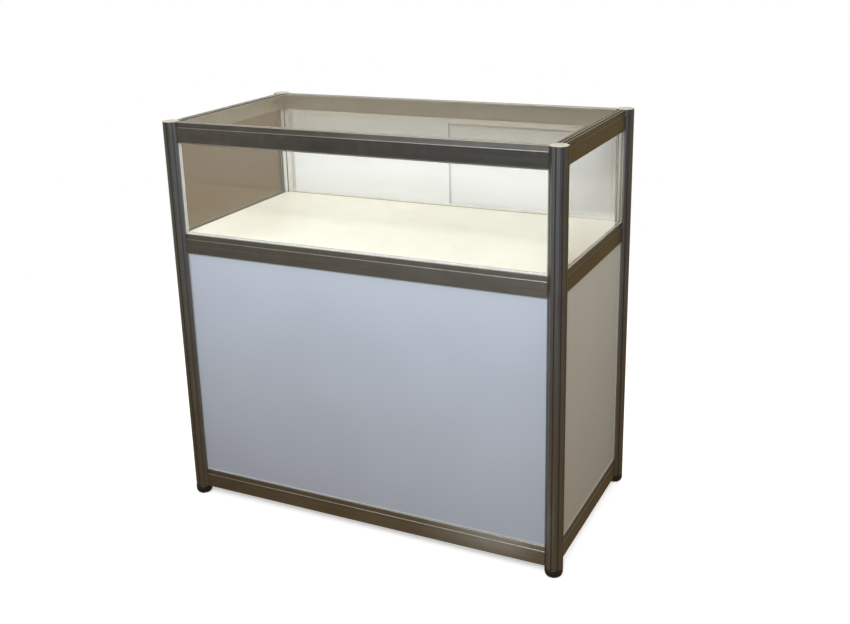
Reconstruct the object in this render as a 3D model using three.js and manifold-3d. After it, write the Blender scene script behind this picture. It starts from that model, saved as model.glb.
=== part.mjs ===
// Exhibition display counter: octagonal aluminium posts, slotted beams, a glazed case above a
// closed cupboard, and lockable sliding doors at the rear.
// Millimetres, +Z up. Origin: on the floor, under the middle of the counter. The front faces -Y.

import * as THREE from 'three';
import * as BufferGeometryUtils from 'three/addons/utils/BufferGeometryUtils.js';
import Module from 'manifold-3d';

const wasm = await Module();
wasm.setup();

// ---------------------------------------------------------------- driving dimensions

const POST_SPACING_X = 990;        // between post centres, left to right
const POST_SPACING_Y = 495;        // between post centres, front to back
const CASE_TOP = 1005;             // top of the posts and of the top beams
const MIDDLE_BEAM_BOTTOM = 675;
const BOTTOM_BEAM_BOTTOM = 22.5;   // also the underside of the posts
const GAP = 0.3;                   // working gap between pieces that meet

const POST = {
  acrossFlats: 40,
  cornerRadius: 2,
  slotOpening: 5.2,                // the two slots that hold panes, beams and channels
  freeSlotOpening: 2.8,            // the six slots left free
  lipDepth: 2,
  chamberWidth: 9.2,
  chamberFloorWidth: 6.4,
  slotDepth: 5.8,
  boreRadius: 6.3,
};

const BEAM = {
  height: 49,
  halfThickness: 8,
  recess: 1.7,                     // the upper band stands this far behind the main face
  bandHeight: 12.5,                // height of that upper band
  edge: 0.8,                       // small chamfer on the long edges
  groove: 5.2,                     // panel groove, top and bottom
  grooveDepth: 8,
  ledgeDrop: 9,                    // from the top of the beam down to the ledge
  ledgeReach: 10,
  ledgeThickness: 2,
  wall: 2,
  chamberBottom: 10.5,
  chamberTop: 33,
  lockHoleRadius: 4,
  lockHoleInset: 22,               // lock hole to beam end
  lockHoleHeight: 21.75,
};

const PANE = 4;                    // glass sides and solid panels
const PANE_IN_GROOVE = 6;          // how far a pane runs into a beam groove
const PANE_IN_SLOT = 4.5;          // how far a pane runs into a post slot
const TOP_GLASS = { thickness: 6, tape: 1.5, sideGap: 2.5 };
const BOARD = { thickness: 8, sideGap: 0.5 };
const CORNER_CLEARANCE = 0.7;      // boards to the diagonal flat of a post

const TRACK = { width: 16, rib: 1, groove: 5, base: 1.5, lowerRib: 6, upperRib: 14, keel: 4.4, keelDepth: 5 };
const DOOR_PITCH = 9;              // between the two door planes
const DOOR_LIFT = 7;               // free height above a door, to lift it out
const DOOR_OVERLAP = 24;           // each door passes the middle by this much
const GRIP = { wall: 1, reach: 14, endGap: 1.2, stopGap: 0.8 };
const CHANNEL = { width: 18.2, depth: 4.7, grooveDepth: 3.5, rib: 1, middleRib: 1.8, keelDepth: 4 };

const CAP = { thickness: 1.5, chamfer: 0.6, plugRadius: 5.9, plugTaper: 0.4, plugLength: 12 };
const FOOT = {
  soleRadius: 12.5,
  wideRadius: 21.5,
  bowlHeight: 13,
  rimRadius: 20,
  rimHeight: 2,
  studRadius: 5,
  studLength: 40,
};

const LOCK = {
  upperHeight: 756,
  lowerHeight: 636,
  holeRadius: 10.2,
  barrelRadius: 9.9,
  flangeRadius: 13,
  flangeThickness: 2.4,
  housingRadius: 11,
  housingLength: 7,
  headBoreRadius: 8.4,
  floor: 1.5,
  rodHoleRadius: 3.4,
  rodRadius: 3,
  headRadius: 8,
  headOut: 12.8,                   // head face to door face with the bolt drawn back
  shoulder: 6.7,                   // underside of the head to the door's inner face
  chamfer: 0.8,
  cylinderRadius: 6,
  cylinderDepth: 8,
  keySlot: [1.6, 7, 5],
};
const KEEPER = { width: 5, height: 24, proud: 2.2, side: 0.6 };

// ---------------------------------------------------------------- derived sizes

const HALF_X = POST_SPACING_X / 2;
const HALF_Y = POST_SPACING_Y / 2;
const FLAT = POST.acrossFlats / 2;
const TOP_BEAM_BOTTOM = CASE_TOP - BEAM.height;
const MIDDLE_BEAM_TOP = MIDDLE_BEAM_BOTTOM + BEAM.height;
const BOTTOM_BEAM_TOP = BOTTOM_BEAM_BOTTOM + BEAM.height;
const INNER_X = HALF_X - BEAM.halfThickness;
const INNER_Y = HALF_Y - BEAM.halfThickness;
const CLEAR_HALF_X = HALF_X - FLAT;          // post face, along X
const CLEAR_HALF_Y = HALF_Y - FLAT;          // post face, along Y
const GRIP_HALF = PANE / 2 + GAP + GRIP.wall;
const GRIP_EDGE = CLEAR_HALF_X - CHANNEL.depth + CHANNEL.grooveDepth - GRIP.stopGap;
const DOOR_WIDTH = GRIP_EDGE - GRIP.wall - GAP + DOOR_OVERLAP;

const SIDES = [
  { name: 'right', angle: 0, offset: HALF_X, span: CLEAR_HALF_Y },
  { name: 'back', angle: Math.PI / 2, offset: HALF_Y, span: CLEAR_HALF_X },
  { name: 'left', angle: Math.PI, offset: HALF_X, span: CLEAR_HALF_Y },
  { name: 'front', angle: -Math.PI / 2, offset: HALF_Y, span: CLEAR_HALF_X },
];

// Each post is turned so that its two wide slots face its neighbours.
const CORNERS = [
  { name: 'front_left', x: -HALF_X, y: -HALF_Y, turn: 0 },
  { name: 'front_right', x: HALF_X, y: -HALF_Y, turn: Math.PI / 2 },
  { name: 'back_left', x: -HALF_X, y: HALF_Y, turn: -Math.PI / 2 },
  { name: 'back_right', x: HALF_X, y: HALF_Y, turn: Math.PI },
];

const LEVELS = [
  { name: 'bottom', z: BOTTOM_BEAM_BOTTOM },
  { name: 'middle', z: MIDDLE_BEAM_BOTTOM },
  { name: 'top', z: TOP_BEAM_BOTTOM },
];

// The two door openings, one above the other, between the rear beams.
const OPENINGS = [
  { name: 'upper', floor: MIDDLE_BEAM_TOP, ceiling: TOP_BEAM_BOTTOM, lockHeight: LOCK.upperHeight },
  { name: 'lower', floor: BOTTOM_BEAM_TOP, ceiling: MIDDLE_BEAM_BOTTOM, lockHeight: LOCK.lowerHeight },
];

// The left door runs in the inner track and the right door in the outer one.
const LEAVES = [
  { name: 'left', side: -1, y: HALF_Y - DOOR_PITCH / 2 },
  { name: 'right', side: 1, y: HALF_Y + DOOR_PITCH / 2 },
];

// ---------------------------------------------------------------- materials

const FINISHES = {
  post_aluminium: { color: 0x55544f, roughness: 0.38, metalness: 0.9 },
  beam_aluminium: { color: 0x56514a, roughness: 0.42, metalness: 0.85 },
  cap_plastic: { color: 0xe2ddcb, roughness: 0.5, metalness: 0 },
  foot_rubber: { color: 0x161614, roughness: 0.45, metalness: 0 },
  glass: { color: 0xcdd3c6, roughness: 0.05, metalness: 0 },
  deck_board: { color: 0xf1eee0, roughness: 0.45, metalness: 0 },
  floor_board: { color: 0xe6e2d6, roughness: 0.5, metalness: 0 },
  panel_front: { color: 0xb4bcc8, roughness: 0.4, metalness: 0 },
  panel_side: { color: 0xa49c8f, roughness: 0.4, metalness: 0 },
  door_panel: { color: 0xe2e4de, roughness: 0.4, metalness: 0 },
  track_plastic: { color: 0xdcdad0, roughness: 0.5, metalness: 0 },
  trim_aluminium: { color: 0xb9bab5, roughness: 0.4, metalness: 0.8 },
  lock_chrome: { color: 0xb8b8b6, roughness: 0.22, metalness: 1 },
  lock_brass: { color: 0xa48c52, roughness: 0.3, metalness: 1 },
};

function finish(name) {
  return new THREE.MeshStandardMaterial({ name, ...FINISHES[name] });
}

// ---------------------------------------------------------------- shared helpers

const counter = new THREE.Group();
counter.name = 'display_counter';

function addPiece(name, geometry, finishName, position = [0, 0, 0], turn = 0, parent = counter) {
  const mesh = new THREE.Mesh(geometry, finish(finishName));
  mesh.name = name;
  mesh.position.set(...position);
  mesh.rotation.z = turn;
  parent.add(mesh);
  return mesh;
}

function shapeFrom(points) {
  return new THREE.Shape(points.map(([x, y]) => new THREE.Vector2(x, y)));
}

function extrude(shape, depth) {
  return new THREE.ExtrudeGeometry(shape, { depth, bevelEnabled: false, curveSegments: 12 });
}

function box(sizeX, sizeY, sizeZ, x, y, z) {
  return new THREE.BoxGeometry(sizeX, sizeY, sizeZ).translate(x, y, z);
}

// A closed geometry as a manifold solid, with its shared vertices merged.
function toSolid(geometry) {
  const bare = geometry.clone();
  bare.deleteAttribute('normal');
  bare.deleteAttribute('uv');
  const merged = BufferGeometryUtils.mergeVertices(bare, 1e-4);
  const vertProperties = new Float32Array(merged.attributes.position.array);
  const triVerts = new Uint32Array(merged.index.array);
  return new wasm.Manifold(new wasm.Mesh({ numProp: 3, vertProperties, triVerts }));
}

function toGeometry(solid) {
  const mesh = solid.getMesh();
  const geometry = new THREE.BufferGeometry();
  geometry.setAttribute('position', new THREE.BufferAttribute(mesh.vertProperties, 3));
  geometry.setIndex(new THREE.BufferAttribute(mesh.triVerts, 1));
  geometry.computeVertexNormals();
  return geometry;
}

function cut(geometry, tools) {
  let solid = toSolid(geometry);
  for (const tool of tools) {
    solid = solid.subtract(toSolid(tool));
  }
  return toGeometry(solid);
}

function join(geometries) {
  const solids = geometries.map(toSolid);
  return toGeometry(solids.reduce((whole, next) => whole.add(next)));
}

// A turned part whose axis lies along +Y: the profile is [radius, y] pairs.
function turnedAlongY(profile, segments) {
  return new THREE.LatheGeometry(profile.map(([r, y]) => new THREE.Vector2(r, y)), segments);
}

// A point at height z in the plane of the two posts on one side of the counter.
function sidePosition(side, z) {
  return [side.offset * Math.cos(side.angle), side.offset * Math.sin(side.angle), z];
}

function cylinderAlongX(radius, length, x, y, z, segments = 12) {
  const geometry = new THREE.CylinderGeometry(radius, radius, length, segments);
  return geometry.rotateZ(Math.PI / 2).translate(x, y, z);
}

function cylinderAlongY(radius, length, x, y, z, segments = 24) {
  return new THREE.CylinderGeometry(radius, radius, length, segments).translate(x, y, z);
}

// ---------------------------------------------------------------- posts, caps and feet

const EIGHTH = Math.PI / 4;

function octagonCorner(index, acrossFlats, radius) {
  const angle = EIGHTH * (index + 0.5);
  const reach = (acrossFlats / 2 - radius) / Math.cos(EIGHTH / 2);
  const points = [];
  for (const turn of [-0.5, 0, 0.5]) {
    const a = angle + turn * EIGHTH;
    points.push([
      reach * Math.cos(angle) + radius * Math.cos(a),
      reach * Math.sin(angle) + radius * Math.sin(a),
    ]);
  }
  return points;
}

// One T-shaped slot, in the middle of the flat that faces the given angle.
function postSlot(angle, opening) {
  const outline = [
    [FLAT, -opening / 2],
    [FLAT - POST.lipDepth, -opening / 2],
    [FLAT - POST.lipDepth, -POST.chamberWidth / 2],
    [FLAT - POST.slotDepth, -POST.chamberFloorWidth / 2],
  ];
  const mirrored = outline.map(([r, t]) => [r, -t]).reverse();
  return [...outline, ...mirrored].map(([r, t]) => [
    r * Math.cos(angle) - t * Math.sin(angle),
    r * Math.sin(angle) + t * Math.cos(angle),
  ]);
}

// The wide slots face +X and +Y.
function postShape() {
  const points = [];
  for (let i = 0; i < 8; i += 1) {
    const wide = i === 0 || i === 2;
    points.push(...postSlot(EIGHTH * i, wide ? POST.slotOpening : POST.freeSlotOpening));
    points.push(...octagonCorner(i, POST.acrossFlats, POST.cornerRadius));
  }
  const shape = shapeFrom(points);
  const bore = new THREE.Path();
  bore.absarc(0, 0, POST.boreRadius, 0, 2 * Math.PI, true);
  shape.holes.push(bore);
  return shape;
}

function octagonShape(acrossFlats, radius) {
  const points = [];
  for (let i = 0; i < 8; i += 1) {
    points.push(...octagonCorner(i, acrossFlats, radius));
  }
  return shapeFrom(points);
}

// A plate with a chamfered rim over the end of the post, and a plug that goes into its bore.
function capGeometry() {
  const outline = octagonShape(POST.acrossFlats - 2 * CAP.chamfer, POST.cornerRadius);
  const plate = new THREE.ExtrudeGeometry(outline, {
    depth: CAP.thickness - CAP.chamfer,
    bevelEnabled: true,
    bevelThickness: CAP.chamfer,
    bevelSize: CAP.chamfer,
    bevelSegments: 1,
  });
  const below = box(2 * POST.acrossFlats, 2 * POST.acrossFlats, POST.acrossFlats, 0, 0, GAP - FLAT);
  const plug = new THREE.CylinderGeometry(CAP.plugRadius, CAP.plugRadius - CAP.plugTaper, CAP.plugLength, 16);
  plug.rotateX(Math.PI / 2).translate(0, 0, 2 * GAP - CAP.plugLength / 2);
  return join([cut(plate, [below]), plug]);
}

// A moulded foot: wide under the post, rounded towards the floor, with its threaded stud.
function footGeometry() {
  const height = BOTTOM_BEAM_BOTTOM - GAP;
  const { soleRadius, wideRadius, bowlHeight } = FOOT;
  const flare = wideRadius - soleRadius;
  const bowl = new THREE.EllipseCurve(soleRadius, bowlHeight, flare, bowlHeight, -Math.PI / 2, 0);
  const profile = [
    [0, 0],
    ...bowl.getPoints(6).map((point) => [point.x, point.y]),
    [wideRadius, height - FOOT.rimHeight],
    [FOOT.rimRadius, height],
    [FOOT.studRadius, height],
    [FOOT.studRadius, height + FOOT.studLength],
    [0, height + FOOT.studLength],
  ];
  return turnedAlongY(profile, 24).rotateX(Math.PI / 2);
}

function addPosts() {
  const height = CASE_TOP - BOTTOM_BEAM_BOTTOM;
  for (const corner of CORNERS) {
    addPiece(`post_${corner.name}`, extrude(postShape(), height), 'post_aluminium',
      [corner.x, corner.y, BOTTOM_BEAM_BOTTOM], corner.turn);
    addPiece(`post_cap_${corner.name}`, capGeometry(), 'cap_plastic', [corner.x, corner.y, CASE_TOP]);
    addPiece(`levelling_foot_${corner.name}`, footGeometry(), 'foot_rubber', [corner.x, corner.y, 0]);
  }
}

// ---------------------------------------------------------------- beams

// Beam section: x points outwards from the counter, y is the height in the beam.
function beamShape() {
  const { height, halfThickness: out, groove, grooveDepth, edge } = BEAM;
  const half = groove / 2;
  const step = height - BEAM.bandHeight;
  const band = out - BEAM.recess;
  const nose = new THREE.EllipseCurve(band, step - BEAM.recess, BEAM.recess, BEAM.recess, 0, Math.PI / 2);
  const ledgeTop = height - BEAM.ledgeDrop;
  const ledgeTip = -out - BEAM.ledgeReach;
  const shape = shapeFrom([
    [half, 0],
    [out - edge, 0],
    [out, edge],
    ...nose.getPoints(4).map((point) => [point.x, point.y]),
    [band, height - edge],
    [band - edge, height],
    [half, height],
    [half, height - grooveDepth],
    [-half, height - grooveDepth],
    [-half, height],
    [edge - out, height],
    [-out, height - edge],
    [-out, ledgeTop],
    [ledgeTip, ledgeTop],
    [ledgeTip, ledgeTop - BEAM.ledgeThickness],
    [-out, ledgeTop - BEAM.ledgeThickness],
    [-out, edge],
    [edge - out, 0],
    [-half, 0],
    [-half, grooveDepth],
    [half, grooveDepth],
  ]);
  const inner = out - BEAM.wall;
  shape.holes.push(new THREE.Path([
    new THREE.Vector2(-inner, BEAM.chamberBottom),
    new THREE.Vector2(-inner, BEAM.chamberTop),
    new THREE.Vector2(inner, BEAM.chamberTop),
    new THREE.Vector2(inner, BEAM.chamberBottom),
  ]));
  return shape;
}

// The beam runs along Y with its outer face towards +X. Each end has a hole through the inner
// wall, where the tension lock inside is turned.
function beamGeometry(length) {
  const bar = extrude(beamShape(), length).translate(0, 0, -length / 2).rotateX(Math.PI / 2);
  const reach = length / 2 - BEAM.lockHoleInset;
  const holes = [-reach, reach].map((y) =>
    cylinderAlongX(BEAM.lockHoleRadius, 2 * BEAM.wall, -BEAM.halfThickness, y, BEAM.lockHoleHeight));
  return cut(bar, holes);
}

function addBeams() {
  for (const level of LEVELS) {
    for (const side of SIDES) {
      const geometry = beamGeometry(2 * (side.span - GAP));
      const name = `beam_${level.name}_${side.name}`;
      addPiece(name, geometry, 'beam_aluminium', sidePosition(side, level.z), side.angle);
    }
  }
}

// ---------------------------------------------------------------- panes, boards and top glass

// A pane between two posts, standing in the grooves of the beams below and above it.
function addPane(name, finishName, side, lowerBeamTop, upperBeamBottom) {
  const width = 2 * (side.span + PANE_IN_SLOT);
  const bottom = lowerBeamTop - PANE_IN_GROOVE;
  const height = upperBeamBottom + PANE_IN_GROOVE - bottom;
  const geometry = new THREE.BoxGeometry(PANE, width, height);
  addPiece(name, geometry, finishName, sidePosition(side, bottom + height / 2), side.angle);
}

function addPanes() {
  for (const side of SIDES.filter((each) => each.name !== 'back')) {
    const solidFinish = side.name === 'front' ? 'panel_front' : 'panel_side';
    addPane(`glass_${side.name}`, 'glass', side, MIDDLE_BEAM_TOP, TOP_BEAM_BOTTOM);
    addPane(`panel_${side.name}`, solidFinish, side, BOTTOM_BEAM_TOP, MIDDLE_BEAM_BOTTOM);
  }
}

// A flat board inside the ring of beams, with its corners cut along the posts' diagonal flats.
function boardShape(sideGap) {
  const x = INNER_X - sideGap;
  const y = INNER_Y - sideGap;
  const diagonal = HALF_X + HALF_Y - (FLAT + CORNER_CLEARANCE) * Math.SQRT2;
  return shapeFrom([
    [diagonal - y, -y], [x, x - diagonal], [x, diagonal - x], [diagonal - y, y],
    [y - diagonal, y], [-x, diagonal - x], [-x, x - diagonal], [y - diagonal, -y],
  ]);
}

function addBoards() {
  const ledge = BEAM.height - BEAM.ledgeDrop;
  const topGlass = extrude(boardShape(TOP_GLASS.sideGap), TOP_GLASS.thickness);
  const board = extrude(boardShape(BOARD.sideGap), BOARD.thickness);
  addPiece('glass_top', topGlass, 'glass', [0, 0, TOP_BEAM_BOTTOM + ledge + TOP_GLASS.tape]);
  addPiece('display_deck', board, 'deck_board', [0, 0, MIDDLE_BEAM_BOTTOM + ledge + GAP]);
  addPiece('cupboard_floor', board.clone(), 'floor_board', [0, 0, BOTTOM_BEAM_BOTTOM + ledge + GAP]);
}

// ---------------------------------------------------------------- door tracks and side channels

// Section of a twin track: x across the grooves, y up from the beam, keel below.
function trackShape(ribHeight) {
  const edge = TRACK.width / 2;
  const inner = edge - TRACK.rib;
  const rib = inner - TRACK.groove;
  const keel = TRACK.keel / 2;
  return shapeFrom([
    [-keel, -TRACK.keelDepth], [keel, -TRACK.keelDepth], [keel, GAP], [edge, GAP],
    [edge, ribHeight], [inner, ribHeight], [inner, TRACK.base], [rib, TRACK.base],
    [rib, ribHeight], [-rib, ribHeight], [-rib, TRACK.base], [-inner, TRACK.base],
    [-inner, ribHeight], [-edge, ribHeight], [-edge, GAP], [-keel, GAP],
  ]);
}

function trackGeometry(ribHeight) {
  const length = 2 * (CLEAR_HALF_X - GAP);
  return extrude(trackShape(ribHeight), length).translate(0, 0, -length / 2).rotateX(Math.PI / 2);
}

function addTracks(opening) {
  const quarter = Math.PI / 2;
  const lower = trackGeometry(TRACK.lowerRib);
  const upper = trackGeometry(TRACK.upperRib).rotateY(Math.PI);
  addPiece(`door_track_${opening.name}_bottom`, lower, 'track_plastic', [0, HALF_Y, opening.floor], quarter);
  addPiece(`door_track_${opening.name}_top`, upper, 'track_plastic', [0, HALF_Y, opening.ceiling], quarter);
}

// Section of a side channel: x away from the post, y across, with its keel in the post slot.
function channelShape() {
  const edge = CHANNEL.width / 2;
  const inner = edge - CHANNEL.rib;
  const rib = CHANNEL.middleRib / 2;
  const floor = CHANNEL.depth - CHANNEL.grooveDepth;
  const keel = TRACK.keel / 2;
  return shapeFrom([
    [-CHANNEL.keelDepth, -keel], [GAP, -keel], [GAP, -edge], [CHANNEL.depth, -edge],
    [CHANNEL.depth, -inner], [floor, -inner], [floor, -rib], [CHANNEL.depth, -rib],
    [CHANNEL.depth, rib], [floor, rib], [floor, inner], [CHANNEL.depth, inner],
    [CHANNEL.depth, edge], [GAP, edge], [GAP, keel], [-CHANNEL.keelDepth, keel],
  ]);
}

function addChannels(opening) {
  const bottom = opening.floor + TRACK.lowerRib + GAP;
  const height = opening.ceiling - TRACK.upperRib - GAP - bottom;
  for (const leaf of LEAVES) {
    const turn = leaf.side > 0 ? Math.PI : 0;
    addPiece(`door_channel_${opening.name}_${leaf.name}`, extrude(channelShape(), height), 'track_plastic',
      [leaf.side * CLEAR_HALF_X, HALF_Y, bottom], turn);
  }
}

// ---------------------------------------------------------------- doors and their grips

// The right door, as a box about its own plane. The left door is the same, turned half round.
function doorGeometry(opening, hasLock) {
  const bottom = opening.floor + TRACK.base + GAP;
  const height = opening.ceiling - TRACK.base - DOOR_LIFT - bottom;
  const middle = DOOR_WIDTH / 2 - DOOR_OVERLAP;
  const panel = box(DOOR_WIDTH, PANE, height, middle, 0, bottom + height / 2);
  if (!hasLock) {
    return panel;
  }
  return cut(panel, [cylinderAlongY(LOCK.holeRadius, 2 * PANE, 0, 0, opening.lockHeight)]);
}

// U section that wraps the outer edge of a door: x along the door, y across it.
function gripShape() {
  const outside = GRIP_HALF;
  const inside = GRIP_HALF - GRIP.wall;
  return shapeFrom([
    [0, -outside], [GRIP.reach, -outside], [GRIP.reach, -inside], [GRIP.wall, -inside],
    [GRIP.wall, inside], [GRIP.reach, inside], [GRIP.reach, outside], [0, outside],
  ]);
}

function addGrip(opening, leaf) {
  const bottom = opening.floor + TRACK.lowerRib + GRIP.endGap;
  const height = opening.ceiling - TRACK.upperRib - GRIP.endGap - bottom;
  const turn = leaf.side > 0 ? Math.PI : 0;
  addPiece(`door_grip_${opening.name}_${leaf.name}`, extrude(gripShape(), height), 'trim_aluminium',
    [leaf.side * GRIP_EDGE, leaf.y, bottom], turn);
}

function addDoors(opening) {
  for (const leaf of LEAVES) {
    const hasLock = leaf.side > 0;
    const turn = hasLock ? 0 : Math.PI;
    addPiece(`door_${opening.name}_${leaf.name}`, doorGeometry(opening, hasLock), 'door_panel',
      [0, leaf.y, 0], turn);
    addGrip(opening, leaf);
  }
}

// ---------------------------------------------------------------- push locks

// Lock pieces are turned about +Y, which points out of the rear. y = 0 is the door's inner face.
function lockBodyGeometry() {
  const face = PANE + GAP;
  const housing = face + LOCK.housingLength;
  return turnedAlongY([
    [LOCK.rodHoleRadius, GAP],
    [LOCK.barrelRadius, GAP],
    [LOCK.barrelRadius, face],
    [LOCK.flangeRadius, face],
    [LOCK.flangeRadius, face + LOCK.flangeThickness],
    [LOCK.housingRadius, face + LOCK.flangeThickness],
    [LOCK.housingRadius, housing - LOCK.chamfer],
    [LOCK.housingRadius - LOCK.chamfer, housing],
    [LOCK.headBoreRadius, housing],
    [LOCK.headBoreRadius, GAP + LOCK.floor],
    [LOCK.rodHoleRadius, GAP + LOCK.floor],
    [LOCK.rodHoleRadius, GAP],
  ], 24);
}

function lockBoltGeometry() {
  const headFace = PANE + LOCK.headOut;
  const pocketFloor = headFace - LOCK.cylinderDepth - 2 * GAP;
  return turnedAlongY([
    [0, GAP],
    [LOCK.rodRadius - LOCK.chamfer, GAP],
    [LOCK.rodRadius, GAP + LOCK.chamfer],
    [LOCK.rodRadius, LOCK.shoulder],
    [LOCK.headRadius, LOCK.shoulder],
    [LOCK.headRadius, headFace - LOCK.chamfer],
    [LOCK.headRadius - LOCK.chamfer, headFace],
    [LOCK.cylinderRadius + GAP, headFace],
    [LOCK.cylinderRadius + GAP, pocketFloor],
    [0, pocketFloor],
  ], 24);
}

function lockCylinderGeometry() {
  const face = PANE + LOCK.headOut - GAP;
  const [slotWidth, slotHeight, slotDepth] = LOCK.keySlot;
  const core = cylinderAlongY(LOCK.cylinderRadius, LOCK.cylinderDepth, 0, face - LOCK.cylinderDepth / 2, 0);
  return cut(core, [box(slotWidth, 2 * slotDepth, slotHeight, 0, face, 0)]);
}

// A block on the left door. The bolt, when pushed in, stands behind it and holds both doors.
function keeperGeometry() {
  const { width, height, proud, side } = KEEPER;
  const x = -LOCK.rodRadius - side - width / 2;
  return box(width, proud, height, x, GAP + proud / 2, 0);
}

function addLock(opening) {
  const [left, right] = LEAVES;
  addPiece(`lock_keeper_${opening.name}`, keeperGeometry(), 'lock_chrome',
    [0, left.y + PANE / 2, opening.lockHeight]);
  const lock = new THREE.Group();
  lock.position.set(0, right.y - PANE / 2, opening.lockHeight);
  counter.add(lock);
  addPiece(`lock_body_${opening.name}`, lockBodyGeometry(), 'lock_chrome', [0, 0, 0], 0, lock);
  addPiece(`lock_bolt_${opening.name}`, lockBoltGeometry(), 'lock_chrome', [0, 0, 0], 0, lock);
  addPiece(`lock_cylinder_${opening.name}`, lockCylinderGeometry(), 'lock_brass', [0, 0, 0], 0, lock);
}

// ---------------------------------------------------------------- the counter

addPosts();
addBeams();
addPanes();
addBoards();
for (const opening of OPENINGS) {
  addTracks(opening);
  addChannels(opening);
  addDoors(opening);
  addLock(opening);
}

export default counter;
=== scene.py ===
"""Looks of an exhibition display counter: a glazed case over a closed cupboard, in a frame of
octagonal aluminium posts and slotted beams, with sliding doors at the rear.

Metres, +Z up, the front faces -Y. Every piece is placed from the boxes of the CAD nodes.
"""

import math

import bmesh
import bpy
from mathutils import Matrix, Vector


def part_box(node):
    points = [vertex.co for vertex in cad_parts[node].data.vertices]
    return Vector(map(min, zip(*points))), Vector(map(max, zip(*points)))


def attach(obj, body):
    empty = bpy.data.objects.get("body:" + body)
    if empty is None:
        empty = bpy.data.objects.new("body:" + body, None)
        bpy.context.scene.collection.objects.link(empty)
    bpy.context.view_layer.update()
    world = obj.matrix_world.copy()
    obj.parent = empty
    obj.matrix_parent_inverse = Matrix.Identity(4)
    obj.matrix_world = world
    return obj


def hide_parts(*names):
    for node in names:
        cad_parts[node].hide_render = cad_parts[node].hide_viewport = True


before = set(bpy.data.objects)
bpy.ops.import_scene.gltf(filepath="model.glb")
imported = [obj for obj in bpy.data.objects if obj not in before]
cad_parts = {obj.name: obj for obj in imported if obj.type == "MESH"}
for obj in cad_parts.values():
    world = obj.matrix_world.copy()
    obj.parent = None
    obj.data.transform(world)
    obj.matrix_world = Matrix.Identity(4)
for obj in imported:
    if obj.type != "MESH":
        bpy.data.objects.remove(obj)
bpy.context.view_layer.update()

MM = 0.001
TAU = 2 * math.pi

CORNERS = ("front_left", "front_right", "back_left", "back_right")
LEVELS = ("bottom", "middle", "top")

PANE = 4 * MM                 # thickness of glass sides, panels and doors
GROOVE = 5.2 * MM             # panel groove in beams and posts
POST_HALF = 20 * MM           # post centre to one of its flats
POST_X = 495 * MM             # counter centre to post centre
POST_Y = 247.5 * MM
BEAM_NOSE = 34.8 * MM         # from the bottom of a beam to the rounded edge under its upper band


# ---------------------------------------------------------------- shader graphs


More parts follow.
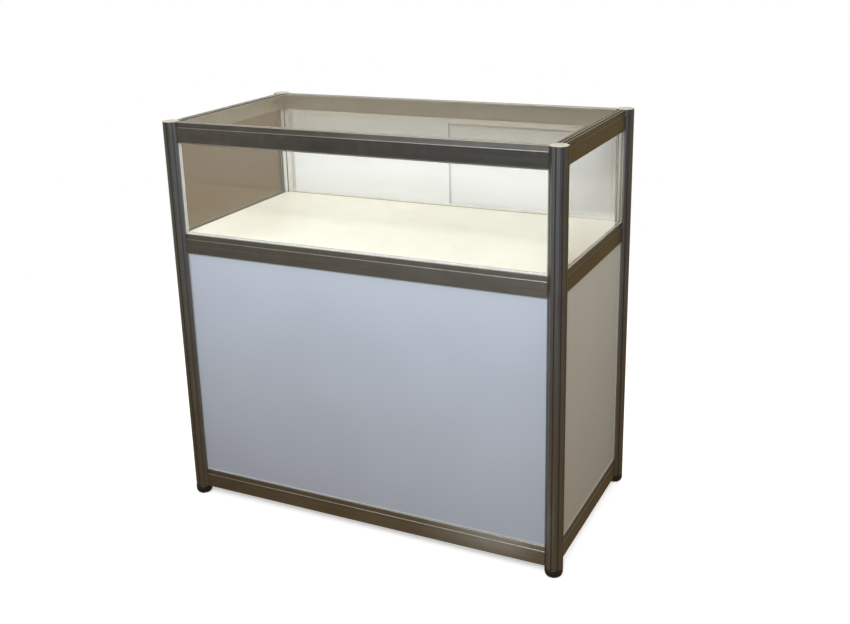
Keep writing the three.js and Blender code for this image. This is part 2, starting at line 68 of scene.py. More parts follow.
class Graph:
    """A material or a world under construction."""

    def __init__(self, name, world=False):
        self.owner = (bpy.data.worlds if world else bpy.data.materials).new(name)
        self.owner.use_nodes = True
        self.tree = self.owner.node_tree
        self.tree.nodes.clear()
        self.output = self.add("ShaderNodeOutputWorld" if world else "ShaderNodeOutputMaterial")

    def add(self, kind, settings=None, **inputs):
        """Adds a node. Input names use _ for a space; a socket is linked, anything else is set."""
        node = self.tree.nodes.new(kind)
        for key, value in (settings or {}).items():
            setattr(node, key, value)
        for key, value in inputs.items():
            self.put(node.inputs[key.replace("_", " ")], value)
        return node

    def put(self, socket, value):
        if isinstance(value, bpy.types.NodeSocket):
            self.tree.links.new(value, socket)
        else:
            socket.default_value = value

    def coords(self, scale=(1, 1, 1), turn=(0, 0, 0)):
        """Object coordinates in metres, scaled."""
        source = self.add("ShaderNodeTexCoord").outputs["Object"]
        return self.add("ShaderNodeMapping", Vector=source, Scale=scale, Rotation=turn).outputs["Vector"]

    def noise(self, vector, scale, detail=3.0, roughness=0.55, distortion=0.0):
        shape = {"Scale": scale, "Detail": detail, "Roughness": roughness, "Distortion": distortion}
        return self.add("ShaderNodeTexNoise", Vector=vector, **shape).outputs["Fac"]

    def cells(self, vector, scale):
        settings = {"feature": "SMOOTH_F1"}
        node = self.add("ShaderNodeTexVoronoi", settings, Vector=vector, Scale=scale, Smoothness=0.6)
        return node.outputs["Distance"]

    def ramp(self, value, stops):
        node = self.add("ShaderNodeValToRGB", Fac=value)
        elements = node.color_ramp.elements
        while len(elements) < len(stops):
            elements.new(0.5)
        for element, (position, colour) in zip(elements, stops):
            element.position = position
            element.color = (*colour, 1)
        return node.outputs["Color"]

    def remap(self, value, low, high, to_low, to_high):
        node = self.add("ShaderNodeMapRange", Value=value)
        for name, number in (("From Min", low), ("From Max", high), ("To Min", to_low), ("To Max", to_high)):
            node.inputs[name].default_value = number
        return node.outputs["Result"]

    def math(self, operation, first, second=0.0):
        node = self.add("ShaderNodeMath", {"operation": operation})
        self.put(node.inputs[0], first)
        self.put(node.inputs[1], second)
        return node.outputs["Value"]

    def blend(self, factor, first, second, mode="MIX"):
        node = self.add("ShaderNodeMix", {"data_type": "RGBA", "blend_type": mode})
        self.put(node.inputs[0], factor)
        self.put(node.inputs[6], first)
        self.put(node.inputs[7], second)
        return node.outputs[2]

    def facing_up(self):
        """1 on a face that looks up, 0 on a wall or an underside."""
        normal = self.add("ShaderNodeNewGeometry").outputs["Normal"]
        height = self.add("ShaderNodeSeparateXYZ", Vector=normal).outputs["Z"]
        return self.remap(height, 0.6, 0.95, 0.0, 1.0)

    def place(self):
        """X, Y and Z of the object coordinates, in metres."""
        source = self.add("ShaderNodeTexCoord").outputs["Object"]
        return self.add("ShaderNodeSeparateXYZ", Vector=source).outputs

    def window(self, value, start, full, fade, end):
        """1 between full and fade, 0 outside start and end, with slopes between them."""
        rise = self.remap(value, start, full, 0.0, 1.0)
        return self.math("MULTIPLY", rise, self.remap(value, fade, end, 1.0, 0.0))

    def bump(self, height, distance, strength=1.0, under=None):
        node = self.add("ShaderNodeBump", Height=height, Distance=distance, Strength=strength)
        if under is not None:
            self.put(node.inputs["Normal"], under)
        return node.outputs["Normal"]

    def principled(self, **inputs):
        return self.add("ShaderNodeBsdfPrincipled", **inputs)

    def choose(self, factor, first, second):
        """The first shader where the factor is 0, the second where it is 1."""
        node = self.add("ShaderNodeMixShader")
        for socket, value in zip(node.inputs, (factor, first.outputs[0], second.outputs[0])):
            self.put(socket, value)
        return node

    def surface(self, shader):
        self.put(self.output.inputs["Surface"], shader.outputs[0])
        return self.owner


def grey(value):
    return (value, value, value)


def srgb(red, green, blue):
    """Linear colour from the usual 0 to 255 values."""

    def one(value):
        value /= 255
        return value / 12.92 if value <= 0.04045 else ((value + 0.055) / 1.055) ** 2.4

    return (one(red), one(green), one(blue))


# ---------------------------------------------------------------- materials

STRETCH = {"x": (0.006, 1, 1), "y": (1, 0.006, 1), "z": (1, 1, 0.006)}


# The faces that look into the lit case, where a pale painted highlight stands in for the light they catch:
# (0 at, 1 at) pairs, in metres.
REAR_HALF = (0.0, 10 * MM)               # posts: Y, only behind the middle of the counter
UNDER_TOP = (957 * MM, 945 * MM)         # posts: Z, only below the top beams
INNER_FACES = (24 * MM, 27.8 * MM)       # posts: distance inward from the post's centre, X plus Y
INNER_WALL = (7.6 * MM, 7.9 * MM)        # beams: distance inward from the middle of the beam


def inward(g, axis):
    """1 on the faces that look into the case, 0 elsewhere: posts have axis z, beams x or y."""
    place = g.place()
    gap_x = g.math("SUBTRACT", POST_X, g.math("ABSOLUTE", place["X"]))
    gap_y = g.math("SUBTRACT", POST_Y, g.math("ABSOLUTE", place["Y"]))
    if axis != "z":
        return g.remap(gap_y if axis == "x" else gap_x, *INNER_WALL, 0.0, 1.0)
    rear = g.remap(place["Y"], *REAR_HALF, 0.0, 1.0)
    rear = g.math("MULTIPLY", rear, g.remap(place["Z"], *UNDER_TOP, 0.0, 1.0))
    return g.math("MULTIPLY", rear, g.remap(g.math("ADD", gap_x, gap_y), *INNER_FACES, 0.0, 1.0))


# painted light: inside the post slots a dull, less metallic tone catches lamp light where the metal would
# mirror only shade
SLOT_EDGE = (0.5 * MM, 1.6 * MM)         # below a post's flat: where the slot's tone begins, and is full
SLOT_PAINTED_FILL = (0.2, 0.165, 0.12)


def in_slot(g):
    """1 inside the slots of a post, 0 on its eight flats."""
    place = g.place()
    off_x = g.math("ABSOLUTE", g.math("SUBTRACT", g.math("ABSOLUTE", place["X"]), POST_X))
    off_y = g.math("ABSOLUTE", g.math("SUBTRACT", g.math("ABSOLUTE", place["Y"]), POST_Y))
    corner = g.math("MULTIPLY", g.math("ADD", off_x, off_y), math.sqrt(0.5))
    reach = g.math("MAXIMUM", g.math("MAXIMUM", off_x, off_y), corner)
    shallow, deep = SLOT_EDGE
    return g.remap(reach, POST_HALF - deep, POST_HALF - shallow, 1.0, 0.0)


# Painted light and shade on the bars along X: (from X, to X, tone there, tone here).
LOW_BARS_LIGHT = (-0.4, 0.4, 1.06, 1.32)
TOP_FACE_SHADE = (-0.35, -0.05, 1.0, 0.68)
TOP_BAND_HIGHLIGHT = (-0.2, 0.3, 1.0, 1.55)
TOP_BARS = (0.75, 0.9)                   # the tone of the top bars sets in between these heights


def bar_painted_light(g):
    """Painted light and shade: top bars darker to the right, with a painted highlight on their upper band,
    the lower bars paler to the right.
    """
    place = g.place()
    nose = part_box("beam_top_front")[0].z + BEAM_NOSE
    face, band_highlight = (g.remap(place["X"], *painted_drift) for painted_drift in (TOP_FACE_SHADE, TOP_BAND_HIGHLIGHT))
    top = g.blend(g.remap(place["Z"], nose, nose + 0.4 * MM, 0.0, 1.0), face, band_highlight)
    return g.blend(g.remap(place["Z"], *TOP_BARS, 0.0, 1.0), g.remap(place["X"], *LOW_BARS_LIGHT), top)


def extruded_aluminium(name, axis, dark, mid, light, roughness, inner_painted_light=None):
    """Anodised extrusion: die lines along one axis, cloudy anodising, handling marks and dust, with painted
    light and shade on the bars, on the faces that look into the case and in the post slots.
    """
    g = Graph(name)
    along = g.coords(STRETCH[axis])
    plain = g.coords()
    broad = g.noise(along, 160, 2.0)
    fine = g.noise(along, 1100, 2.0, 0.7)
    cloud = g.noise(plain, 7, 3.0)
    hands = g.noise(plain, 46, 5.0, 0.62, 0.4)
    streaks = g.blend(0.45, broad, fine)
    tone = g.blend(0.35, streaks, cloud)
    colour = g.ramp(tone, [(0.3, dark), (0.5, mid), (0.72, light)])
    # painted light and shade: the front and back bars are darkened or paled along X, with a painted
    # highlight on the upper band of the top bars
    if axis == "x":
        colour = g.blend(1.0, colour, bar_painted_light(g), "MULTIPLY")
    scuffs = g.remap(hands, 0.62, 0.74, 0.0, 0.16)
    colour = g.blend(scuffs, colour, (*[min(1, c * 1.4) for c in light], 1))
    dust = g.math("MULTIPLY", g.facing_up(), g.remap(hands, 0.35, 0.75, 0.05, 0.3))
    colour = g.blend(dust, colour, (0.42, 0.4, 0.35, 1))
    # painted highlight: a pale tone on the faces that look into the lit case stands in for the light they
    # mirror
    if inner_painted_light:
        pale = g.ramp(tone, [(0.3, inner_painted_light), (0.72, [1.12 * c for c in inner_painted_light])])
        colour = g.blend(inward(g, axis), colour, pale)
    rough = g.remap(g.blend(0.5, hands, fine), 0.3, 0.7, roughness - 0.07, roughness + 0.09)
    relief = g.bump(fine, 0.00002, 0.5, g.bump(broad, 0.00006, 0.35))
    shader = g.principled(Base_Color=colour, Metallic=1.0, Roughness=rough, Normal=relief)
    # painted light in the post slots: a dull brown tone, less metallic, that catches the lamps
    if axis == "z":
        slot = in_slot(g)
        g.put(shader.inputs["Base Color"], g.blend(slot, colour, (*SLOT_PAINTED_FILL, 1)))
        g.put(shader.inputs["Metallic"], g.remap(slot, 0.0, 1.0, 1.0, 0.3))
    return g.surface(shader)


def moulded_plastic(name, dark, light, roughness, coat=0.0, grime=None):
    """Moulded plastic: fine spark texture, slight flow marks, and grime that settles on its top."""
    g = Graph(name)
    plain = g.coords()
    flow = g.noise(plain, 55, 4.0, 0.6, 0.8)
    spark = g.noise(plain, 900, 2.0, 0.6)
    marks = g.noise(plain, 240, 3.0)
    colour = g.ramp(g.blend(0.3, flow, marks), [(0.35, dark), (0.65, light)])
    if grime:
        dirt = g.math("MULTIPLY", g.facing_up(), g.remap(marks, 0.45, 0.75, 0.0, 0.35))
        colour = g.blend(dirt, colour, (*grime, 1))
    rough = g.remap(marks, 0.3, 0.7, roughness - 0.06, roughness + 0.08)
    relief = g.bump(spark, 0.00004, 0.35, g.bump(flow, 0.0002, 0.12))
    finish = {"Coat_Weight": coat, "Coat_Roughness": 0.12, "IOR": 1.48}
    shader = g.principled(Base_Color=colour, Roughness=rough, Normal=relief, **finish)
    return g.surface(shader)


def laminate(name, low, high, painted_shade_heights, roughness, speck):
    """Plastic-faced sheet: a cloudy tone with painted shade that darkens it towards the bottom, orange peel,
    faint wipe marks, specks.
    """
    g = Graph(name)
    plain = g.coords()
    painted_drift = g.remap(g.place()["Z"], *painted_shade_heights, 0.0, 1.0)
    cloud = g.noise(plain, 2.6, 2.0)
    wipe = g.noise(g.coords((1, 1, 5), (0.2, 0.5, 0.3)), 6, 4.0, 0.6, 0.6)
    grainy = g.noise(plain, 620, 2.0)
    peel = g.noise(plain, 210, 2.0)
    tone = g.math("ADD", g.math("MULTIPLY", g.math("SUBTRACT", cloud, 0.5), 0.55), painted_drift)
    colour = g.ramp(tone, [(0.0, low), (1.0, high)])
    colour = g.blend(g.remap(grainy, 0.3, 0.7, 0.0, 0.05), colour, (0.9, 0.9, 0.88, 1))
    spots = g.remap(g.cells(plain, 17), 0.012, 0.02, 0.4, 0.0)
    colour = g.blend(spots, colour, (*speck, 1))
    rough = g.remap(wipe, 0.3, 0.7, roughness - 0.05, roughness + 0.09)
    relief = g.bump(grainy, 0.00002, 0.3, g.bump(peel, 0.0001, 0.12))
    shader = g.principled(Base_Color=colour, Roughness=rough, Normal=relief, IOR=1.5)
    return g.surface(shader)


# painted light: the boards are paler to the left and darker to the right, standing in for how the light
# falls across the deck
BOARD_PAINTED_LIGHT = (-0.45, 0.45, 1.07, 0.93)  # tone of the boards along X, as for the bars


def melamine(name, warm, pale):
    """Melamine-faced board: pearl texture, soft tone changes, fine rub marks, and painted light that is
    paler to the left.
    """
    g = Graph(name)
    plain = g.coords()
    pearl = g.cells(plain, 520)
    cloud = g.noise(plain, 3.1, 3.0)
    rub = g.noise(g.coords((1, 14, 1), (0, 0, 0.6)), 22, 5.0, 0.65, 0.3)
    colour = g.ramp(cloud, [(0.3, warm), (0.7, pale)])
    colour = g.blend(g.remap(rub, 0.62, 0.8, 0.0, 0.12), colour, (0.62, 0.6, 0.54, 1))
    colour = g.blend(g.remap(pearl, 0.1, 0.5, 0.0, 0.07), colour, (0.72, 0.7, 0.63, 1))
    colour = g.blend(1.0, colour, g.remap(g.place()["X"], *BOARD_PAINTED_LIGHT), "MULTIPLY")
    rough = g.remap(g.blend(0.5, pearl, rub), 0.2, 0.7, 0.38, 0.56)
    relief = g.bump(pearl, 0.00005, 0.35)
    shader = g.principled(Base_Color=colour, Roughness=rough, Normal=relief, IOR=1.5)
    return g.surface(shader)


LAMP_TINT = (0.972, 0.978, 0.972)        # what a pane leaves of the lamps' light


def float_glass(name, tint):
    """Clear glass with a faint waviness and smears. Lamps shine through it."""
    g = Graph(name)
    smear = g.noise(g.coords((1, 1, 3), (0.3, 0.2, 0.4)), 9, 5.0, 0.62, 0.7)
    wave = g.noise(g.coords(), 3.5, 1.0)
    colour = g.ramp(smear, [(0.45, tint), (0.8, [0.96 * c for c in tint])])
    wavy = g.bump(wave, 0.0006, 0.06)
    shader = g.principled(
        Base_Color=colour, Roughness=0.0, IOR=1.48, Transmission_Weight=1.0, Normal=wavy
    )
    clear = g.add("ShaderNodeBsdfTransparent", Color=(*LAMP_TINT, 1))
    lamp_ray = g.add("ShaderNodeLightPath").outputs["Is Shadow Ray"]
    return g.surface(g.choose(lamp_ray, shader, clear))


def plated_metal(name, dark, light, roughness):
    """Turned and plated metal: rings from turning, fine scratches, a slightly uneven plate."""
    g = Graph(name)
    plain = g.coords()
    haze = g.noise(plain, 320, 4.0, 0.6)
    scratch = g.noise(g.coords((1, 1, 30), (0, 0.7, 0)), 300, 3.0, 0.7)
    colour = g.ramp(haze, [(0.3, dark), (0.7, light)])
    rough = g.remap(scratch, 0.35, 0.7, roughness - 0.05, roughness + 0.12)
    relief = g.bump(scratch, 0.00001, 0.4)
    return g.surface(g.principled(Base_Color=colour, Metallic=1.0, Roughness=rough, Normal=relief))


def soft_vinyl(name, dark, light):
    """Glazing gasket: soft vinyl with a satin skin and a little dust in it."""
    g = Graph(name)
    plain = g.coords()
    skin = g.noise(plain, 480, 3.0)
    age = g.noise(plain, 21, 4.0, 0.6)
    colour = g.ramp(g.blend(0.35, age, skin), [(0.3, dark), (0.68, light)])
    rough = g.remap(skin, 0.3, 0.7, 0.34, 0.52)
    shader = g.principled(
        Base_Color=colour,
        Roughness=rough,
        Normal=g.bump(skin, 0.00003, 0.4),
        Subsurface_Weight=0.12,
        Subsurface_Scale=0.002,
    )
    return g.surface(shader)


POST_TONES = (srgb(122, 123, 124), srgb(138, 139, 140), srgb(153, 154, 155))
BEAM_TONES = (srgb(119, 117, 112), srgb(134, 132, 127), srgb(148, 146, 142))
TRIM_TONES = (srgb(206, 206, 202), srgb(220, 220, 216), srgb(232, 232, 229))

POST_METAL = extruded_aluminium("post_aluminium", "z", *POST_TONES, 0.36, inner_painted_light=srgb(226, 226, 222))
BEAM_METAL_X = extruded_aluminium("beam_aluminium_x", "x", *BEAM_TONES, 0.38, inner_painted_light=srgb(180, 176, 166))
BEAM_METAL_Y = extruded_aluminium("beam_aluminium_y", "y", *BEAM_TONES, 0.38, inner_painted_light=srgb(188, 184, 172))
TRIM_METAL = extruded_aluminium("trim_aluminium", "z", *TRIM_TONES, 0.36)
CAP_PLASTIC = moulded_plastic(
    "cap_plastic", srgb(187, 181, 164), srgb(202, 197, 183), 0.48, grime=srgb(140, 132, 114)
)
FOOT_PLASTIC = moulded_plastic(
    "foot_plastic", srgb(13, 13, 12), srgb(27, 27, 25), 0.3, coat=0.35, grime=srgb(74, 68, 58)
)
TRACK_PLASTIC = moulded_plastic("track_plastic", srgb(214, 212, 203), srgb(230, 228, 221), 0.46)
# painted shade: the panels and doors darken towards the floor between these heights
PANEL_PAINTED_SHADE = (0.07, 0.68)               # heights of a panel's darkest and palest tone
DOOR_PAINTED_SHADE = (0.07, 1.0)
FRONT_PANEL = laminate(
    "front_panel", srgb(170, 176, 188), srgb(198, 208, 224), PANEL_PAINTED_SHADE, 0.42, srgb(110, 112, 116)
)
# painted shade: the side panels take a warmer, greyer copy of the front panel's sheet, standing in for the
# shade they stand in
SIDE_PANEL = laminate(
    "side_panel", srgb(177, 174, 163), srgb(191, 189, 180), PANEL_PAINTED_SHADE, 0.36, srgb(110, 104, 94)
)
DOOR_PANEL = laminate(
    "door_panel", srgb(216, 217, 215), srgb(228, 229, 229), DOOR_PAINTED_SHADE, 0.4, srgb(150, 150, 146)
)
DECK_BOARD = melamine("deck_board", srgb(236, 231, 213), srgb(243, 239, 225))
FLOOR_BOARD = melamine("floor_board", srgb(226, 221, 207), srgb(235, 231, 220))
SIDE_GLASS = float_glass("side_glass", (0.974, 0.98, 0.974))
# painted shade: the top pane is tinted darker than the side panes, so that what shows through it reads
# shaded
TOP_GLASS = float_glass("top_glass", (0.88, 0.885, 0.86))
CHROME = plated_metal("lock_chrome", srgb(170, 170, 168), srgb(200, 200, 198), 0.2)
BRASS = plated_metal("lock_brass", srgb(146, 122, 66), srgb(176, 150, 92), 0.28)
STEEL = plated_metal("zinc_steel", srgb(140, 142, 144), srgb(172, 174, 176), 0.32)
# The gasket vinyl in copies painted for the light on each side: pale where lit at the front glass, a shaded
# copy for the front panel and a warmer shaded copy for the sides.
PALE_VINYL = soft_vinyl("pale_vinyl", srgb(196, 197, 190), srgb(218, 219, 213))
SHADED_PANEL_VINYL = soft_vinyl("cool_vinyl", srgb(156, 161, 162), srgb(178, 183, 184))
SHADED_SIDE_VINYL = soft_vinyl("shaded_side_vinyl", srgb(166, 159, 142), srgb(188, 181, 165))
GREY_VINYL = soft_vinyl("grey_vinyl", srgb(84, 82, 74), srgb(108, 106, 98))
TAPE_FOAM = soft_vinyl("tape_foam", srgb(150, 147, 134), srgb(172, 169, 156))


def material_for(node):
    """The finish of a CAD node, from its name."""
    if node.startswith("post_cap"):
        return CAP_PLASTIC
    if node.startswith("post"):
        return POST_METAL
    if node.startswith("beam"):
        return BEAM_METAL_X if node.endswith(("front", "back")) else BEAM_METAL_Y
    if node.startswith("glass"):
        return TOP_GLASS if node == "glass_top" else SIDE_GLASS
    if node == "panel_front":
        return FRONT_PANEL
    if node.startswith("panel"):
        return SIDE_PANEL
    if node.startswith(("door_track", "door_channel")):
        return TRACK_PLASTIC
    if node.startswith("door_grip"):
        return TRIM_METAL
    if node.startswith("door"):
        return DOOR_PANEL
    if node.startswith("lock_cylinder"):
        return BRASS
    if node.startswith("lock"):
        return CHROME
    return {"display_deck": DECK_BOARD, "cupboard_floor": FLOOR_BOARD}.get(node, FOOT_PLASTIC)


# ---------------------------------------------------------------- CAD nodes

EDGE_WIDTHS = (
    ("post_cap", 0.3 * MM),
    ("post", 0.2 * MM),
    ("beam", 0.25 * MM),
    ("glass_top", 0.8 * MM),
    ("glass", 0.4 * MM),
    ("panel", 0.3 * MM),
    ("display_deck", 0.6 * MM),
    ("cupboard_floor", 0.6 * MM),
    ("door_track", 0.2 * MM),
    ("door_channel", 0.2 * MM),
    ("door_", 0.25 * MM),
    ("lock", 0.15 * MM),
)


HARD_EDGE = math.radians(32)             # edges that turn more than this are hard


def soften(obj, width):
    """Joins split corners and rounds the hard edges, with the faces shaded smooth between them."""
    weld = obj.modifiers.new("weld", "WELD")
    weld.merge_threshold = 1e-6
    bevel = obj.modifiers.new("edges", "BEVEL")
    bevel.width = width
    bevel.segments = 2
    bevel.limit_method = "ANGLE"
    bevel.angle_limit = HARD_EDGE
    bevel.use_clamp_overlap = True
    bevel.miter_outer = "MITER_ARC"
    obj.data.polygons.foreach_set("use_smooth", [True] * len(obj.data.polygons))
    normals = obj.modifiers.new("flat_faces", "WEIGHTED_NORMAL")
    normals.keep_sharp = True


for node_name, node_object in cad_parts.items():
    node_object.data.materials.clear()
    node_object.data.materials.append(material_for(node_name))
    for prefix, width in EDGE_WIDTHS:
        if node_name.startswith(prefix):
            soften(node_object, width)
            break


# ---------------------------------------------------------------- mesh helpers


def piece(name, builder, material, body):
    """Turns a bmesh into a visible piece that rides on a body."""
    bmesh.ops.recalc_face_normals(builder, faces=builder.faces[:])
    mesh = bpy.data.meshes.new(name)
    builder.to_mesh(mesh)
    builder.free()
    mesh.materials.append(material)
    obj = bpy.data.objects.new(name, mesh)
    bpy.context.scene.collection.objects.link(obj)
    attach(obj, body)
    return obj


def smooth_by_angle(obj, angle=HARD_EDGE):
    obj.data.polygons.foreach_set("use_smooth", [True] * len(obj.data.polygons))
    obj.data.set_sharp_from_angle(angle=angle)


def add_prism(builder, rings):
    """A closed solid from a row of matching section loops, each a list of points."""
    rows = [[builder.verts.new(point) for point in ring] for ring in rings]
    count = len(rows[0])
    for first, second in zip(rows, rows[1:]):
        for i in range(count):
            j = (i + 1) % count
            builder.faces.new((first[i], first[j], second[j], second[i]))
    builder.faces.new(rows[0])
    builder.faces.new(list(reversed(rows[-1])))


def add_turned(builder, profile, centre, segments):
    """A closed turned solid. The profile is (radius, height) pairs that start and end on the axis."""

    def place(radius, angle, height):
        return centre + Vector((radius * math.cos(angle), radius * math.sin(angle), height))

    rows = []
    for radius, height in profile:
        if radius == 0:
            rows.append([builder.verts.new(place(0, 0, height))])
        else:
            angles = [TAU * k / segments for k in range(segments)]
            rows.append([builder.verts.new(place(radius, angle, height)) for angle in angles])
    for low, high in zip(rows, rows[1:]):
        for k in range(segments):
            n = (k + 1) % segments
            loop = [low[k % len(low)], low[n % len(low)], high[n % len(high)], high[k % len(high)]]
            unique = list(dict.fromkeys(loop))
            if len(unique) > 2:
                builder.faces.new(unique)


# ---------------------------------------------------------------- glazing gaskets

GASKET_GAP = 0.06 * MM
GASKET_REST = 0.08 * MM       # from the groove's edge to the bead
GASKET_DEPTH = 3.6 * MM       # into the groove
GASKET_TAPER = 1.9 * MM       # from here the gasket thins toward its root
MITRE = 0.12 * MM
BULGE = ((0, 1), (0.17, 1), (0.49, 0.86), (0.79, 0.52), (1, 0.16))    # shares of reach and height

# How far each gasket reaches over the pane and stands out from its face.
OUTER_BEAD = (2.6 * MM, 2.1 * MM)
FRONT_INNER_BEAD = (5.0 * MM, 1.2 * MM)
INNER_BEAD = (1.1 * MM, 0.6 * MM)


def gasket_section(reach, proud):
    """(run, out) points: run is measured from the groove edge over the pane, out from its face."""
    groove = (GROOVE - PANE) / 2 - GASKET_GAP
    span = reach - GASKET_REST
    proud = max(proud, groove + 0.05 * MM)
    return [
        (-GASKET_DEPTH, GASKET_GAP),
        (-GASKET_DEPTH, 0.6 * groove),
        (-GASKET_TAPER, groove),
        (GASKET_REST, groove),
        *[(GASKET_REST + span * along, proud * out) for along, out in BULGE],
        (reach, GASKET_GAP),
    ]


def side_frame(side):
    """(along, outward) directions of one side of the counter."""
    along = {"front": (1, 0), "back": (-1, 0), "left": (0, -1), "right": (0, 1)}[side]
    out = {"front": (0, -1), "back": (0, 1), "left": (-1, 0), "right": (1, 0)}[side]
    return Vector((*along, 0)), Vector((*out, 0))


def add_gasket(name, side, centre, half_width, low, high, face):
    """Four mitred lengths of gasket round one face of a pane: face is +1 outside, -1 inside."""
    along, out = side_frame(side)
    out = out * face
    # painted shade: the outer gaskets take the shaded vinyl copies on the sides and on the front panel, and
    # the pale one on the front glass
    if face > 0:
        bead, vinyl = OUTER_BEAD, SHADED_SIDE_VINYL
        if side == "front":
            vinyl = PALE_VINYL if "glass" in name else SHADED_PANEL_VINYL
    else:
        bead, vinyl = (FRONT_INNER_BEAD, PALE_VINYL) if side == "front" else (INNER_BEAD, GREY_VINYL)
    corners = [(-half_width, low), (half_width, low), (half_width, high), (-half_width, high)]
    section = gasket_section(*bead)
    builder = bmesh.new()
    for i in range(4):
        start, end = Vector(corners[i]), Vector(corners[(i + 1) % 4])
        run = (end - start).normalized()
        inward = Vector((-run.y, run.x))
        rings = []
        for corner, sign in ((start, 1), (end, -1)):
            ring = []
            for reach, proud in section:
                point = corner + inward * reach + run * sign * (reach + MITRE)
                ring.append(centre + along * point.x + out * (PANE / 2 + proud) + Vector((0, 0, point.y)))
            rings.append(ring)
        add_prism(builder, rings)
    smooth_by_angle(piece(name, builder, vinyl, "frame"), math.radians(40))


def middle_of(node):
    low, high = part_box(node)
    return (low + high) / 2


def add_gaskets():
    post = middle_of("post_front_right")
    for kind, lower, upper in (("glass", "middle", "top"), ("panel", "bottom", "middle")):
        for side in ("front", "left", "right"):
            pane = middle_of(f"{kind}_{side}")
            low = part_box(f"beam_{lower}_{side}")[1].z
            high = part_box(f"beam_{upper}_{side}")[0].z
            half_width = abs(post.x if side == "front" else post.y) - POST_HALF
            centre = Vector((pane.x, pane.y, 0))
            for face, word in ((1, "outer"), (-1, "inner")):
                add_gasket(f"gasket_{kind}_{side}_{word}", side, centre, half_width, low, high, face)


# ---------------------------------------------------------------- tape under the top glass

TAPE = {
    "width": 8 * MM,
    "inset": 4.2 * MM,        # from the edge of the glass
    "gap": 0.05 * MM,
    "corner": 30 * MM,        # left free at each corner
    "ledge": 40 * MM,         # from the bottom of the beam to the top of its ledge
}
SQUARE = ((-1, -1), (1, -1), (1, 1), (-1, 1))


def add_tape():
    """Mounting tape on the ledges, under the glass top."""
    low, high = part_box("glass_top")
    bottom = low.z
    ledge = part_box("beam_top_front")[0].z + TAPE["ledge"]
    half = TAPE["width"] / 2
    edge_x, edge_y = high.x - TAPE["inset"], high.y - TAPE["inset"]
    reach_x, reach_y = edge_x - TAPE["corner"], edge_y - TAPE["corner"]
    builder = bmesh.new()
    for sign in (-1, 1):
        for size, centre in (
            ((reach_x, half), (0, sign * (edge_y - half))),
            ((half, reach_y), (sign * (edge_x - half), 0)),
        ):
            corners = [(centre[0] + u * size[0], centre[1] + v * size[1]) for u, v in SQUARE]
            heights = (ledge + TAPE["gap"], bottom - TAPE["gap"])
            add_prism(builder, [[Vector((*corner, z)) for corner in corners] for z in heights])
    soften(piece("glass_top_tape", builder, TAPE_FOAM, "frame"), 0.25 * MM)


# ---------------------------------------------------------------- tension locks in the beam ends

LOCK_INSET = 22 * MM
LOCK_HEIGHT = 21.75 * MM
TENSION = {"radius": 3.6 * MM, "socket": 2.0 * MM, "face": 7.4 * MM, "depth": 2.6 * MM, "back": -5.4 * MM}


def add_tension_lock(name, centre, inward, run):
    """A cam with a hexagon socket, seen through the hole in the inner wall of a beam."""
    side = inward.cross(run)
    segments = 24

    def loop(radius, reach, sides=None):
        points = []
        for k in range(segments):
            angle = TAU * k / segments
            r = radius
            if sides:
                step = TAU / sides
                r = radius * math.cos(step / 2) / math.cos((angle % step) - step / 2)
            around = run * (r * math.cos(angle)) + side * (r * math.sin(angle))
            points.append(centre + inward * reach + around)
        return points

    face = TENSION["face"]
    rings = [
        loop(TENSION["radius"], TENSION["back"]),
        loop(TENSION["radius"], face - 0.5 * MM),
        loop(TENSION["radius"] - 0.5 * MM, face),
        loop(TENSION["socket"] + 0.25 * MM, face, 6),
        loop(TENSION["socket"], face - 0.3 * MM, 6),
        loop(TENSION["socket"], face - TENSION["depth"], 6),
    ]
    builder = bmesh.new()
    add_prism(builder, rings)
    smooth_by_angle(piece(name, builder, STEEL, "frame"))


def add_tension_locks():
    post = middle_of("post_front_right")
    for level in LEVELS:
        for side in ("front", "back", "left", "right"):
            along, out = side_frame(side)
            low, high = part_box(f"beam_{level}_{side}")
            half = abs((high - low).dot(along)) / 2
            offset = abs(post.y if side in ("front", "back") else post.x)
            for end, word in ((-1, "a"), (1, "b")):
                centre = out * offset + along * end * (half - LOCK_INSET)
                centre.z = low.z + LOCK_HEIGHT
                add_tension_lock(f"tension_lock_{level}_{side}_{word}", centre, -out, along)


# ---------------------------------------------------------------- levelling feet

FOOT_TOP = 22.2 * MM
STUD = {
    "radius": 5.0 * MM,
    "root": 4.15 * MM,
    "pitch": 1.5 * MM,
    "top": 62.2 * MM,
    "sunk": 2.3 * MM,         # how far the stud starts below the top of the foot
    "runout": 1.2 * MM,       # plain length before the thread
    "steps": 24,
}
THREAD = (("root", 0), ("crest", 0.42), ("crest", 0.56), ("root", 0.98))    # heights in pitches


def foot_profile():
    """(radius, height) of the moulded foot, from the middle of its sole to the middle of its top."""
    sole, wide, bowl, round_over = 12.5 * MM, 21.45 * MM, 13 * MM, 1.6 * MM
    points = [(0, 0.9 * MM), (8.5 * MM, 0.9 * MM), (9.2 * MM, 0.05 * MM), (sole - 1.2 * MM, 0)]
    for k in range(13):
        angle = math.pi / 2 * k / 12
        rise = bowl - (bowl - 0.25 * MM) * math.cos(angle)
        points.append((sole + (wide - sole) * math.sin(angle), rise))
    for inset, height in ((0, 16.6), (0.5, 17.0), (0.5, 17.5), (0, 17.9)):
        points.append((wide - inset * MM, height * MM))
    for k in range(5):
        angle = math.pi / 2 * k / 4
        rise = round_over * math.sin(angle) - round_over - 0.1 * MM
        points.append((wide - round_over + round_over * math.cos(angle), FOOT_TOP + rise))
    for radius, drop in ((8.4, 0.1), (8.0, 0.9), (5.3, 0.9), (5.2, 2.5), (0, 2.5)):
        points.append((radius * MM, FOOT_TOP - drop * MM))
    return points


